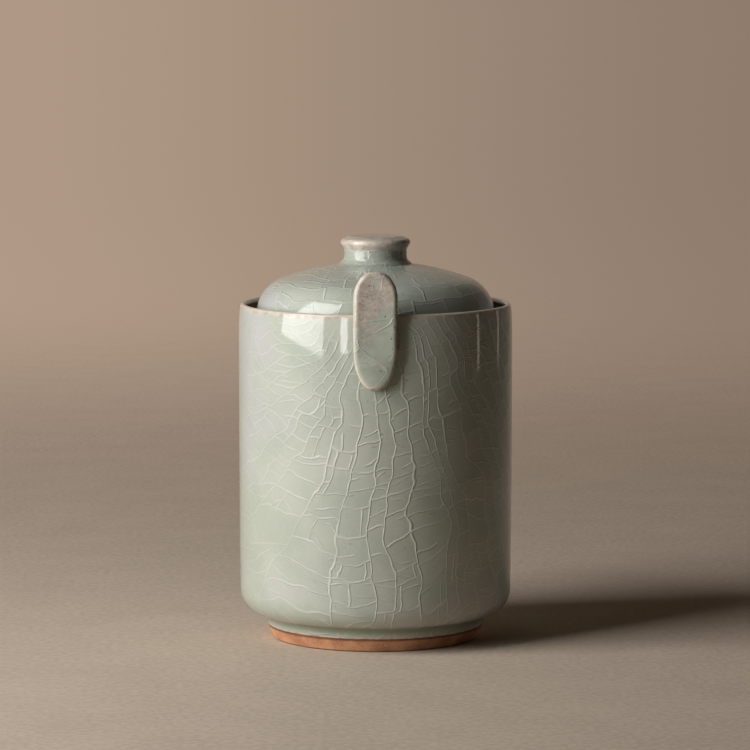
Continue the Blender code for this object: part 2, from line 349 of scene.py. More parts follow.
def crackleWeb(paint, spot, seam, mains, rungs):
    # long cracks, rungs between them, some of those cells parted again along and then across;
    # mains and rungs make the distance to a crack and three random numbers for each strip, and
    # mains the strip's width too
    w = web
    strip, first, width = mains(0, 0)
    strip = strip.least(seam)
    rung, second = rungs(0, first[0] * w["rungShuffle"], first[1])
    ray, third, _ = mains(1, first[2] * w["rayShuffle"][0] + second[0] * w["rayShuffle"][1])
    ray = ray + paint.ramp(second[1], *w["rays"])
    ray = ray + paint.ramp(width, *w["narrow"])
    ray = ray + paint.ramp(strip, *w["apart"])
    jump = third[0] * w["splitShuffle"][0] + second[2] * w["splitShuffle"][1]
    split, _ = rungs(1, jump, third[1])
    split = split + paint.ramp(third[2], *w["splits"])
    split = split + paint.ramp(rung, *w["apart"])
    unbroken = paint.patches(spot, *w["gapPatches"]).most(paint.ramp(width, *w["hairline"]))
    faded = paint.patches(spot, *w["fadePatches"]) * unbroken
    ridge = 0
    for edge, half, strength in zip((strip, rung, ray, split), w["widths"], w["strengths"]):
        ridge = (crackRidge(paint, edge, half) * faded * strength).most(ridge)
    return ridge


wallCracks = {
    "leftHub": 127,
    "leftBend": 40,
    "rightHub": 160,
    "rightFan": 1.4,
    "drift": 7.5,
    "driftSize": 27,
    "kink": 2.3,
    "kinkSize": 9,
    "fans": (13.0, 15.0),
    "rungs": (8.0, 5.2),
    "climb": 0.26,
    "spread": 0.5,
    "backShift": 7,
    "leftFiner": (-17.5, -31, 1, 0.42),
}


def wallCrackle(paint, spot):
    # the mains fan out and down from a hub behind the tab, and from another at the back; the rungs
    # climb to the right, and on the left they bend round the hub
    c = wallCracks
    x, y, z = paint.split(paint.wander(spot, c))
    angle = x.angleFrom(y * -1)
    atBack = abs(angle).above(math.pi / 2)
    folded = angle - atBack * math.pi * x.maths("SIGN", angle)
    seam = (math.pi / 2 - abs(folded)) * jarRadius * mm
    around = folded * jarRadius * mm
    onRight = around.above(0)
    below = onRight * (c["rightHub"] - c["leftHub"]) + c["leftHub"] - z
    squeeze = c["leftBend"] / (around.least(0) * -1 + c["leftBend"])
    aside = around * squeeze
    widened = 1 + onRight * (c["rightFan"] - 1)
    turned = aside.angleFrom(below) * widened + atBack * c["backShift"]
    steepness = ((squeeze * squeeze * below) ** 2 + aside * aside) ** 0.5
    steepness = steepness * widened / (below * below + aside * aside)
    onLeft = around.least(0)
    drop = c["leftHub"] - z
    reach = (drop * drop + onLeft * onLeft) ** 0.5

    def mains(level, jump):
        strip, chance = paint.stripes(turned * c["fans"][level] + jump)
        width = 1 / steepness / c["fans"][level]
        return strip * width, chance, width

    def rungs(level, jump, lean):
        climb = around * (c["climb"] + (lean - 0.5) * c["spread"] * (level + 1))
        rung, chance = paint.stripes((reach + climb) / c["rungs"][level] + jump)
        return rung * c["rungs"][level], chance

    return crackleWeb(paint, spot, seam, mains, rungs) * paint.ramp(x, *c["leftFiner"])


lidCracks = {
    "drift": 4,
    "driftSize": 17,
    "kink": 1.3,
    "kinkSize": 6,
    "rings": (6.5, 4.5),
    "ringStretch": 1.3,
    "ringWidth": 20.0,
    "spokes": (11, 7),
    "spokeRadius": 26,
    "lean": 0.03,
}


def lidCrackle(paint, spot):
    # the mains go round the dome and the rungs go up it
    c = lidCracks
    x, y, z = paint.split(paint.wander(spot, c))
    angle = x.angleFrom(y * -1)
    radius = (x * x + y * y) ** 0.5
    seam = (math.pi - abs(angle)) * radius

    def mains(level, jump):
        ring, chance = paint.stripes((radius - z) / c["rings"][level] / c["ringStretch"] + jump)
        return ring * c["rings"][level], chance, c["ringWidth"]

    def rungs(level, jump, lean):
        count = c["spokeRadius"] / c["spokes"][level]
        spoke, chance = paint.stripes((angle + (lean - 0.5) * z * c["lean"]) * count + jump)
        return spoke * radius / count, chance

    return crackleWeb(paint, spot, seam, mains, rungs)


cellCracks = {
    "squash": (1, 1, 2),
    "driftSize": 1.5,
    "drift": 0.35,
    "shuffle": (90, 90, 90),
    "innerSize": 0.62,
    "innerCells": (0.5, 0.55, 0, 9),
    "innerWidth": 0.75,
    "innerStrength": 0.6,
}


def cellCrackle(paint, spot, size, width):
    # the same glaze on a small or domed shape: large cells, and some of them cracked again; the
    # dictionary's sizes and widths are shares of the cells' own
    c = cellCracks
    bent = paint.vector("MULTIPLY", spot, c["squash"])
    bent = paint.stagger(bent, size * c["driftSize"], size * c["drift"])
    edge, chance = paint.cells(bent, size)
    jump = paint.add("ShaderNodeCombineXYZ", {}, chance)
    jump = paint.vector("MULTIPLY", jump, c["shuffle"])
    inner, innerChance = paint.cells(paint.vector("ADD", bent, jump), size * c["innerSize"])
    inner = inner + paint.ramp(innerChance[0], *c["innerCells"])
    lesser = crackRidge(paint, inner, width * c["innerWidth"]) * c["innerStrength"]
    return crackRidge(paint, edge, width).most(lesser)


def nowhere(paint, spot):
    return 0.0


def glazeMaterial(name, thin, pool, cracks, spots=fewSpots, crest=nowhere, bare=nowhere, bloom=nowhere):
    # thin, pool, cracks, crest, bare and bloom are functions of the paint and the spot; bloom adds
    # to the haze that blushes lavender, and the others give a mask; bare's mask is painted shade, dark and
    # rough
    g = glaze
    paint = Paint(name, Specular_IOR_Level=g["specular"], **g["coat"])
    spot = paint.spot()
    thinness = thin(paint, spot)
    pooling = pool(paint, spot)
    bareShadeMask = bare(paint, spot)
    ridge = cracks(paint, spot) * (1 - thinness * g["crackHidden"]) * (1 - pooling) * (1 - bareShadeMask)
    colour = paint.mix(paint.patches(spot, *g["mottlePatches"]), g["celadonDeep"], g["celadon"])
    colour = paint.mix(paint.patches(spot, *g["grainPatches"]), colour, g["celadonPale"])
    haze = paint.noise(spot, *g["hazeNoise"]) + bloom(paint, spot)
    colour = paint.mix(paint.ramp(haze, *g["haze"]), colour, g["blush"])
    colour = paint.mix(pooling, colour, g["pooled"])
    broken = paint.mix(paint.patches(spot, *g["thinPatches"]), g["thin"], g["thinEdge"])
    colour = paint.mix(thinness, colour, broken)
    grit = paint.patches(spot, *g["gritPatches"], 0, spots["grit"]) * thinness
    colour = paint.mix(grit, colour, g["grit"])
    # the crest colour: pale glaze on the lip's top and the knob's rim, and on the tab's left edge a painted
    # highlight
    colour = paint.mix(crest(paint, spot), colour, g["crest"])
    # painted shade in the pocket round the lid, where bare's mask is
    colour = paint.mix(bareShadeMask, colour, g["paintedPocketShade"])
    colour = paint.mix(ridge * g["crackTint"], colour, g["crackLine"])
    speck = paint.dots(spot, g["speckScale"], *spots["specks"])
    speck = speck * paint.patches(spot, *spots["speckPatches"])
    colour = paint.mix(speck, colour, g["speck"])
    paint.feed("Base Color", colour)
    roughness = g["roughness"] + thinness * g["roughnessThin"]
    roughness = roughness + paint.noise(spot, *g["roughnessNoise"]) * g["roughnessVaries"]
    paint.feed("Roughness", roughness + bareShadeMask * g["roughnessBare"])
    peel = paint.bump(paint.noise(spot, *spots["peelNoise"]), spots["peelDepth"])
    paint.feed("Normal", paint.bump(ridge - speck * g["speckDepth"], g["ridgeDepth"], peel))
    return paint.material


jar = {
    "lipThickness": 0.0019,
    "lipDrawIn": 0.0005,
    "drawInDepth": 0.0153,
    "drawInPower": 4,
    "taper": 0.0005,
    "taperPower": 2.4,
    "heelRounding": 0.0080,
    "heelHeight": 0.0082,
    "footWidth": 0.0050,
    "seatGap": 0.0003,
    "glazeOverhang": 0.0003,
    "glazeRoll": 0.0005,
    "coveSpread": 0.0006,
    "coveRounding": 0.0015,
    "recessDepth": 0.0070,
    "wall": 0.0042,
    "floor": 0.0055,
    "floorRounding": 0.0070,
    "ledgeDepth": 0.0053,
    "ledgeWidth": 0.0062,
    "ledgeThickness": 0.0060,
    "edgeRounding": 0.0006,
    "steps": 256,
    "wallCuts": 60,
    "unevenness": 0.00007,
    "unevenSize": 0.034,
    "unevenSeed": 3.7,
}
jarFinish = {
    "lipRagged": (4, 1, 0.7),
    "lipThin": (-2.4, -0.9, 0, 0.8),
    "footThin": (0.75, 0.40),
    "heelPool": (1.2, -1.0),
    "footPool": (0.4, 2.6),
    "crestRagged": (3, 2, 0.3),
    "lipCrest": (-0.85, -0.45, 0, 0.6),
    # where the pocket round the lid gets painted shade: across the ledge, and up the pocket's wall to below
    # the lip
    "throatShadeEdge": (-0.4, 0),
    "pocketShadeEdge": (0.5, 0.2),
    "ledgeShadeEdge": (-0.6, -0.2),
    "lipShadeEdge": (-0.8, -1.5),
    # middle across and up, squash across and up, and ramp from the edge inwards: more blush on
    # the upper left, less on the lower middle
    "blooms": (
        ((-30, 82), (1.4, 0.7), (20, 3, 0, 0.13)),
        ((4, 42), (1, 0.7), (27, 8, 0, -0.16)),
    ),
}
jarRadius = (jarHigh.x - jarLow.x) / 2
lipHeight = jarHigh.z
footTop = footHigh.z
footRadius = (footHigh.x - footLow.x) / 2
lipRadius = jarRadius - jar["lipDrawIn"]
pocketRadius = lipRadius - jar["lipThickness"]
ledgeHeight = lipHeight - jar["ledgeDepth"]
throatRadius = pocketRadius - jar["ledgeWidth"]


def wallRadius(height):
    # the outside of the wall swells from the heel and draws in under the lip
    widest = lipHeight - jar["drawInDepth"]
    if height > widest:
        return jarRadius - jar["lipDrawIn"] * ((height - widest) / jar["drawInDepth"]) ** jar["drawInPower"]
    return jarRadius - jar["taper"] * (1 - height / widest) ** jar["taperPower"]


def makeJar():
    j = jar
    neckBottom = footTop + j["seatGap"]
    neckRadius = footRadius + j["glazeOverhang"]
    recessRadius = footRadius - j["footWidth"]
    floorHeight = j["recessDepth"] + j["floor"]
    insideTop = jarRadius - j["wall"]
    ledgeFoot = ledgeHeight - j["ledgeThickness"]
    lipRounding = j["lipThickness"] / 2
    heelTop = j["heelHeight"] + j["heelRounding"]
    bm = wireOutline([
        (0, j["recessDepth"]),
        (recessRadius - j["coveRounding"], j["recessDepth"], j["coveRounding"]),
        (recessRadius, neckBottom),
        (neckRadius, neckBottom, j["glazeRoll"]),
        (neckRadius + j["coveSpread"], j["heelHeight"], j["coveRounding"]),
        (wallRadius(heelTop), j["heelHeight"], j["heelRounding"]),
        (lipRadius, lipHeight, lipRounding),
        (pocketRadius, lipHeight, lipRounding),
        (pocketRadius, ledgeHeight, j["edgeRounding"]),
        (throatRadius, ledgeHeight, j["edgeRounding"]),
        (throatRadius, ledgeFoot, j["edgeRounding"]),
        (insideTop, ledgeFoot - insideTop + throatRadius, j["coveRounding"]),
        (insideTop - j["taper"], floorHeight, j["floorRounding"]),
        (0, floorHeight),
    ])
    walls = [edge for edge in bm.edges if edge.calc_length() > lipHeight / 2]
    bmesh.ops.subdivide_edges(bm, edges=walls, cuts=j["wallCuts"])
    for vert in bm.verts:
        if vert.co.x > insideTop + j["wall"] / 2 and heelTop <= vert.co.z <= lipHeight - lipRounding:
            vert.co.x = wallRadius(vert.co.z)
    turn(bm, j["steps"])
    handle(bm, j)
    return makePiece("jarGlazed", bm, jarMaterial(), "jar", "jar_body")


def jarMaterial():
    f = jarFinish
    lip = lipHeight * mm
    ledge = ledgeHeight * mm
    foot = (footTop + jar["seatGap"]) * mm
    heel = jar["heelHeight"] * mm

    def thin(paint, spot):
        z = paint.height(spot)
        atLip = paint.ramp(paint.ragged(z - lip, spot, *f["lipRagged"]), *f["lipThin"])
        return atLip.most(paint.ramp(z - foot, *f["footThin"]))

    def pool(paint, spot):
        z = paint.height(spot)
        return paint.ramp(z - heel, *f["heelPool"]) * paint.ramp(z - foot, *f["footPool"])

    def crest(paint, spot):
        # the top of the lip, where the glaze is pale
        z = paint.height(spot)
        return paint.ramp(paint.ragged(z - lip, spot, *f["crestRagged"]), *f["lipCrest"])

    def bare(paint, spot):
        # the ledge and the pocket wall above it are painted dark and made rough: painted shade in the gap
        # round the lid
        z = paint.height(spot)
        radius = paint.radius(spot)
        inside = paint.ramp(radius - throatRadius * mm, *f["throatShadeEdge"])
        inside = inside * paint.ramp(radius - pocketRadius * mm, *f["pocketShadeEdge"])
        return inside * paint.ramp(z - ledge, *f["ledgeShadeEdge"]) * paint.ramp(z - lip, *f["lipShadeEdge"])

    def bloom(paint, spot):
        x, _, z = paint.split(spot)
        total = 0
        for (middleX, middleZ), (squashX, squashZ), ramp in f["blooms"]:
            across = (x - middleX) * squashX
            up = (z - middleZ) * squashZ
            total = paint.ramp((across * across + up * up) ** 0.5, *ramp) + total
        return total

    return glazeMaterial("jar celadon", thin, pool, wallCrackle, crest=crest, bare=bare, bloom=bloom)


foot = {"tread": 0.0340, "rounding": 0.0006, "sink": 0.0004, "steps": 256}


def makeFoot():
    inside = footRadius - jar["footWidth"]
    bm = wireOutline([
        (inside, 0, foot["rounding"]),
        (foot["tread"], 0, foot["rounding"]),
        (footRadius, footTop),
        (footRadius, footTop + foot["sink"]),
        (inside, footTop + foot["sink"]),
    ], closed=True)
    turn(bm, foot["steps"])
    return makePiece("footClay", bm, clayMaterial(), "jar", "foot_ring")


clay = {
    "fired": (0.565, 0.285, 0.145, 1),
    "toasted": (0.38, 0.165, 0.08, 1),
    "sandy": (0.60, 0.34, 0.20, 1),
    # the dark of the open pits, also used for the painted shade and contact shadow
    "pitAndShade": (0.08, 0.036, 0.02, 1),
    "refraction": 1.45,
    "squash": (1, 1, 3.5),
    "blotchPatches": (7, 3, 0.35, 0.65),
    "grogNoise": (0.7, 3),
    "grog": (0.48, 0.72, 0, 0.7),
    "pitScale": 0.55,
    "pits": (0.10, 0.20, 1, 0),
    "pitPatches": (2, 1, 0.50, 0.60),
    "pitDepth": 2,
    # painted shade just under the glaze's edge, and a painted contact shadow where the tread meets the
    # floor
    "underGlazeShade": (-0.7, -0.1, 0, 0.75),
    "treadContactShadow": (0.6, 0.15, 0, 0.8),
    "roughness": 0.72,
    "roughnessVaries": 0.2,
    "lineSquash": (0.05, 0.05, 3),
    "lineNoise": (1.0, 2),
    "lineDepth": 0.7,
    "grainDepth": 0.00008,
}


def clayMaterial():
    # bare toasted clay: turning lines, grog and small open pits, with painted shade under the glaze's edge
    # and a painted contact shadow along the tread
    c = clay
    paint = Paint("bare clay", IOR=c["refraction"])
    spot = paint.spot()
    z = paint.height(spot)
    flat = paint.vector("MULTIPLY", spot, c["squash"])
    grog = paint.noise(flat, *c["grogNoise"])
    colour = paint.mix(paint.patches(spot, *c["blotchPatches"]), c["toasted"], c["fired"])
    colour = paint.mix(paint.ramp(grog, *c["grog"]), colour, c["sandy"])
    hole = paint.dots(flat, c["pitScale"], *c["pits"]) * paint.patches(spot, *c["pitPatches"])
    colour = paint.mix(hole, colour, c["pitAndShade"])
    # painted shade under the glaze's edge and a painted contact shadow along the tread
    footShade = paint.ramp(z - footTop * mm, *c["underGlazeShade"]).most(paint.ramp(z, *c["treadContactShadow"]))
    colour = paint.mix(footShade, colour, c["pitAndShade"])
    paint.feed("Base Color", colour)
    paint.feed("Roughness", c["roughness"] + grog * c["roughnessVaries"])
    lines = paint.noise(paint.vector("MULTIPLY", spot, c["lineSquash"]), *c["lineNoise"])
    relief = grog + lines * c["lineDepth"] - hole * c["pitDepth"]
    paint.feed("Normal", paint.bump(relief, c["grainDepth"]))
    return paint.material


lid = {
    "brimEdge": 0.0011,
    "brimRounding": 0.0008,
    "shoulderRadius": 0.0130,
    "domeRadius": 0.0920,
    "domeThickness": 0.0045,
    "domeRounding": 0.0050,
    "flangeGap": 0.0028,
    "flangeWidth": 0.0038,
    "flangeRounding": 0.0010,
    "grooveTop": 0.0010,
    "grooveHeight": 0.0036,
    "grooveDepth": 0.0014,
    "coveSteps": 10,
    "domeSteps": 28,
    "shoulderSteps": 24,
    "innerSteps": 20,
    "steps": 256,
    "unevenness": 0.00005,
    "unevenSize": 0.026,
    "unevenSeed": 9.1,
}
lidFinish = {
    "brimThin": (1.6, 0.2),
    "outerThin": (0, 0.8, 0, 0.9),
    "neckPool": (4.0, 0.8, 0, 0.4),
}
knob = {
    "neckRadius": 0.0103,
    "cove": 0.0030,
    "coveSteps": 8,
    "neckHeight": 0.0022,
    "flatRadius": 0.0084,
    "flatRounding": 0.0014,
    "shoulder": 0.0111,
    "shoulderDrop": 0.0010,
    "rimDrop": 0.0022,
    "rounding": 0.0011,
    "undercut": 0.0011,
    "sink": 0.0012,
    "steps": 192,
}
knobFinish = {
    "discRagged": (2.5, 2, 0.7),
    "discThin": (-0.3, 0.7),
    "flatThin": (-0.8, 0.8, 0.5, 1),
    "flatPool": (0.4, -0.6, 0, 0.5),
    "topPool": (-0.5, -0.2),
    "neckPool": (0.2, -1.0, 0, 0.5),
    "underCrest": (0.9, 1.6, 0, 0.25),
    "topCrest": (-0.1, -0.5),
    "cellSize": 5.5,
    "crackWidth": 0.35,
}
brimHeight = ledgeHeight + jar["seatGap"]
lidRadius = (lidHigh.x - lidLow.x) / 2
knobRadius = (knobHigh.x - knobLow.x) / 2
flangeRadius = throatRadius - lid["flangeGap"]
grooveRadius = flangeRadius - lid["grooveDepth"]
shoulderCentre = (lidRadius - lid["shoulderRadius"], brimHeight + lid["brimEdge"])
domeRise = math.sqrt((lid["domeRadius"] - lid["shoulderRadius"]) ** 2 - shoulderCentre[0] ** 2)
domeCentre = (0, shoulderCentre[1] - domeRise)
coveReach = knob["neckRadius"] + knob["cove"]
coveRise = math.sqrt((lid["domeRadius"] + knob["cove"]) ** 2 - coveReach**2)
coveCentre = (coveReach, domeCentre[1] + coveRise)
underDisc = coveCentre[1] + knob["neckHeight"]


def coveAngle(height):
    return math.pi - math.asin((height - coveCentre[1]) / knob["cove"])


def makeLid():
    seat = lidHigh.z
    domeStart = math.atan2(coveRise, coveReach)
    domeEnd = math.atan2(domeRise, shoulderCentre[0])
    bore = flangeRadius - lid["flangeWidth"]
    inner = lid["domeRadius"] - lid["domeThickness"]
    boreTop = domeCentre[1] + math.sqrt(inner**2 - bore**2)
    innerEnd = math.atan2(boreTop - domeCentre[1], bore)
    grooveTop = brimHeight - lid["grooveTop"]
    grooveFoot = grooveTop - lid["grooveHeight"]
    outline = [(0, seat)]
    outline += arc(coveCentre, knob["cove"], coveAngle(seat), domeStart + math.pi, lid["coveSteps"])
    outline += arc(domeCentre, lid["domeRadius"], domeStart, domeEnd, lid["domeSteps"])[1:]
    outline += arc(shoulderCentre, lid["shoulderRadius"], domeEnd, 0, lid["shoulderSteps"])[1:]
    outline += [
        (lidRadius, brimHeight, lid["brimRounding"]),
        (flangeRadius, brimHeight, lid["brimRounding"]),
        (flangeRadius, grooveTop),
        (grooveRadius, grooveTop),
        (grooveRadius, grooveFoot),
        (flangeRadius, grooveFoot),
        (flangeRadius, lidLow.z, lid["flangeRounding"]),
        (bore, lidLow.z, lid["flangeRounding"]),
        (bore, boreTop, lid["domeRounding"]),
    ]
    outline += arc(domeCentre, inner, innerEnd, math.pi / 2, lid["innerSteps"])[1:]
    bm = wireOutline(outline)
    turn(bm, lid["steps"])
    handle(bm, lid)
    return makePiece("lidGlazed", bm, lidMaterial(), "lid", "lid_shell")


def lidMaterial():
    f = lidFinish

    def thin(paint, spot):
        onBrim = paint.ramp(paint.height(spot) - brimHeight * mm, *f["brimThin"])
        return onBrim * paint.ramp(paint.radius(spot) - throatRadius * mm, *f["outerThin"])

    def pool(paint, spot):
        return paint.ramp(paint.radius(spot) - knob["neckRadius"] * mm, *f["neckPool"])

    return glazeMaterial("lid celadon", thin, pool, lidCrackle)


def makeKnob():
    k = knob
    base = knobLow.z - k["sink"]
    top = knobHigh.z
    outline = [(0, base), (coveCentre[0] - k["cove"] / 2, base)]
    outline += arc(coveCentre, k["cove"], coveAngle(knobLow.z), math.pi, k["coveSteps"])
    outline += [
        (k["neckRadius"], underDisc, k["undercut"]),
        (knobRadius, top - k["rimDrop"], k["rounding"]),
        (k["shoulder"], top - k["shoulderDrop"], k["rounding"]),
        (k["flatRadius"], top, k["flatRounding"]),
        (0, top),
    ]
    bm = wireOutline(outline)
    turn(bm, k["steps"])
    handle(bm, lid)
    return makePiece("knobGlazed", bm, knobMaterial(), "lid", "lid_knob")


def knobMaterial():
    f = knobFinish
    top = knobHigh.z * mm
    under = underDisc * mm
    flat = knob["flatRadius"] * mm

    def thin(paint, spot):
        onDisc = paint.ragged(paint.height(spot) - under, spot, *f["discRagged"])
        return paint.ramp(onDisc, *f["discThin"]) * paint.ramp(paint.radius(spot) - flat, *f["flatThin"])

    def pool(paint, spot):
        z = paint.height(spot)
        onTop = paint.ramp(paint.radius(spot) - flat, *f["flatPool"]) * paint.ramp(z - top, *f["topPool"])
        return paint.ramp(z - under, *f["neckPool"]).most(onTop)

    def crest(paint, spot):
        z = paint.height(spot)
        return paint.ramp(z - under, *f["underCrest"]) * paint.ramp(z - top, *f["topCrest"])

    def cracks(paint, spot):
        return cellCrackle(paint, spot, f["cellSize"], f["crackWidth"])

    return glazeMaterial("knob celadon", thin, pool, cracks, crest=crest)


seal = {
    "band": 0.0014,
    "lipRoot": 0.0008,
    "lipTip": 0.0004,
    "lipRise": 0.0004,
    "rounding": 0.00015,
    "roundingSteps": 3,
    "steps": 192,
    "sharp": 30,
    "silicone": (0.50, 0.485, 0.44, 1),
    "siliconePale": (0.56, 0.545, 0.50, 1),
    "refraction": 1.41,
    "dustNoise": (1.2, 3),
    "dust": (0.4, 0.7),
    "dustDepth": 0.00003,
    "roughness": 0.48,
    "roughnessVaries": 0.14,
}


def makeSeal():
    s = seal
    gap = jar["seatGap"]
    inner = grooveRadius + gap
    band = inner + s["band"]
    reach = throatRadius - gap
    top = sealHigh.z
    bottom = sealLow.z
    outline = [(inner, bottom), (band, bottom)]
    for lip in (bottom + s["lipRise"], top - s["lipRoot"] - s["lipRise"]):
        outline += [
            (band, lip),
            (reach, lip + s["lipRise"], s["rounding"]),
            (reach, lip + s["lipRise"] + s["lipTip"], s["rounding"]),
            (band, lip + s["lipRoot"]),
        ]
    outline += [(band, top), (inner, top)]
    bm = wireOutline(outline, closed=True, segments=s["roundingSteps"])
    turn(bm, s["steps"])
    return makePiece("sealRing", bm, siliconeMaterial(), "seal", "lid_seal", s["sharp"])


def siliconeMaterial():
    s = seal
    paint = Paint("seal silicone", IOR=s["refraction"])
    dust = paint.noise(paint.spot(), *s["dustNoise"])
    paint.feed("Base Color", paint.mix(paint.ramp(dust, *s["dust"]), s["silicone"], s["siliconePale"]))
    paint.feed("Roughness", s["roughness"] + dust * s["roughnessVaries"])
    paint.feed("Normal", paint.bump(dust, s["dustDepth"]))
    return paint.material


tab = {
    "topRound": 0.0090,
    "footRound": 0.0130,
    "curvePower": 2.1,
    "rounding": 0.0016,
    "backRounding": 0.0006,
    "roundingSteps": 8,
    "dishDepth": 0.00042,
    "dishTop": 0.1005,
    "dishFoot": 0.0925,
    "tailCrown": 0.0008,
    "segments": 128,
    "faceRings": 12,
    "sharp": 40,
    "hookWidth": 0.0080,
    "hookThickness": 0.0022,
    "hookDrop": 0.0038,
    "hookRounding": 0.0009,
    "hookRoundingSteps": 5,
    "hookEdgeSteps": 3,
    "hookClearance": 0.0007,
}
tabFinish = {
    "edgeDepth": (2.2, 1.0),  # behind the tab's front
    "edgeThin": (0.74, 0.93),  # 1 is on the tab's outline
    "wornNoise": (4.5, 3),
    "wornUp": (91, 119, -0.20, 0.11),
    "wornAcross": -0.012,
    "wornRagged": (0.8, 2, 0.5),
    "worn": (0.36, 0.62, 0, 0.75),
    "poolNoise": (6, 2),
    "poolAcross": 0.02,
    "poolUp": -0.004,
    "pool": (0.0, 0.2, 0, 0.35),
    # the painted highlight on the edge's left side, where the light falls
    "edgeHighlight": (0.80, 0.95, 0, 0.8),
    "leftHighlight": (0, -0.7),  # 1 is half the tab's width
    "cellSize": 17,
    "crackWidth": 0.25,
}
tabHalf = (tabHigh.x - tabLow.x) / 2
tabBack = jarRadius + jar["seatGap"]
tabFront = axisY - tabLow.y


def ease(value, start, end):
    share = min(1, max(0, (value - start) / (end - start)))
    return share * share * (3 - 2 * share)


def tongueRing(bm, inset, forward):
    # a ring of the tab's outline, drawn in by inset; forward gives its distance from the jar's axis
    ring = bmesh.ops.create_circle(bm, segments=tab["segments"], radius=1)["verts"]
    power = 2 / tab["curvePower"]
    for vert in ring:
        across = math.copysign(abs(vert.co.x) ** power, vert.co.x) * (tabHalf - inset)
        if vert.co.y > 0:
            height = tabHigh.z - tab["topRound"] + (tab["topRound"] - inset) * vert.co.y**power
        else:
            height = tabLow.z + tab["footRound"] - (tab["footRound"] - inset) * abs(vert.co.y) ** power
        vert.co = Vector((across, -forward(across, height), height))
    return list({edge for vert in ring for edge in vert.link_edges})


def faceForward(across, height):
    # the front is dished above and crowned towards its tail
    dished = ease(height, tab["dishFoot"], tab["dishTop"])
    share = (across / tabHalf) ** 2
    return tabFront - tab["dishDepth"] * dished * (1 - share) - tab["tailCrown"] * (1 - dished) * share


def edgeForward(across, height, sunk):
    # the rounded edge goes no further back than where the back's rounding ends
    face = faceForward(across, height)
    room = face - tabBack - tab["backRounding"]
    return face - min(tab["rounding"], room) * sunk


def makeTab():
    t = tab
    bm = bmesh.new()
    rings = []
    for step in range(t["roundingSteps"] + 1):  # rounded back edge
        turned = math.pi / 2 * step / t["roundingSteps"]
        inset = t["backRounding"] * (1 - math.sin(turned))
        back = tabBack + t["backRounding"] * (1 - math.cos(turned))
        rings.append(tongueRing(bm, inset, lambda across, height: back))
    for step in range(t["roundingSteps"] + 1):  # rounded front edge, which runs into the face
        turned = math.pi / 2 * step / t["roundingSteps"]
        inset = t["rounding"] * (1 - math.cos(turned))
        sunk = 1 - math.sin(turned)
        rings.append(tongueRing(bm, inset, lambda across, height: edgeForward(across, height, sunk)))
    for step in range(1, t["faceRings"] + 1):  # the last ring is a line up the middle
        inset = t["rounding"] + (tabHalf - t["rounding"]) * step / t["faceRings"]
        rings.append(tongueRing(bm, inset, faceForward))
    for lower, upper in zip(rings, rings[1:]):
        bmesh.ops.bridge_loops(bm, edges=lower + upper)
    bmesh.ops.contextual_create(bm, geom=rings[0])
    close(bm)
    piece = makePiece("tabGlazed", bm, tabMaterial(), "tab", "front_tab", t["sharp"])
    hook = makeHook()
    union = piece.modifiers.new("hook", "BOOLEAN")
    union.operation = "UNION"
    union.object = hook
    joined = piece.evaluated_get(bpy.context.evaluated_depsgraph_get())
    mesh = bpy.data.meshes.new_from_object(joined)
    piece.modifiers.clear()
    piece.data = mesh
    bpy.data.objects.remove(hook)
    print("tab and hook joined", len(mesh.polygons), "faces")
    return piece


def makeHook():
    # the strap over the lip and the finger behind it: (distance behind the lip's outside, height)
    t = tab
    gap = jar["seatGap"]
    half = t["hookWidth"] / 2
    fingerFront = lipRadius - math.sqrt(pocketRadius**2 - half**2) + gap
    fingerBack = lipRadius - lidRadius - t["hookClearance"]
    root = lipRadius - (tabBack + tabFront) / 2
    strapTop = gap + t["hookThickness"]
    bm = wireOutline([
        (root, gap),
        (fingerFront, gap, gap),
        (fingerFront, -t["hookDrop"], t["hookRounding"]),
        (fingerBack, -t["hookDrop"], t["hookRounding"]),
        (fingerBack, strapTop, t["hookRounding"]),
        (root, strapTop),
    ], closed=True, segments=t["hookRoundingSteps"])
    bmesh.ops.contextual_create(bm, geom=bm.edges[:])
    for vert in bm.verts:
        vert.co = Vector((-half, axisY - lipRadius + vert.co.x, lipHeight + vert.co.z))
    grown = bmesh.ops.extrude_face_region(bm, geom=bm.faces[:])["geom"]
    moved = [item for item in grown if isinstance(item, bmesh.types.BMVert)]
    bmesh.ops.translate(bm, verts=moved, vec=(2 * half, 0, 0))
    bmesh.ops.recalc_face_normals(bm, faces=bm.faces)
    sides = [face for face in bm.faces if abs(face.normal.x) > 0.9]
    rims = list({edge for face in sides for edge in face.edges})
    bmesh.ops.bevel(
        bm, geom=rims, offset=gap, offset_type="OFFSET", segments=t["hookEdgeSteps"],
        profile=0.5, affect="EDGES", material=-1,
    )
    mesh = bpy.data.meshes.new("hookCutter")
    bm.to_mesh(mesh)
    bm.free()
    hook = bpy.data.objects.new("hookCutter", mesh)
    bpy.context.collection.objects.link(hook)
    return hook


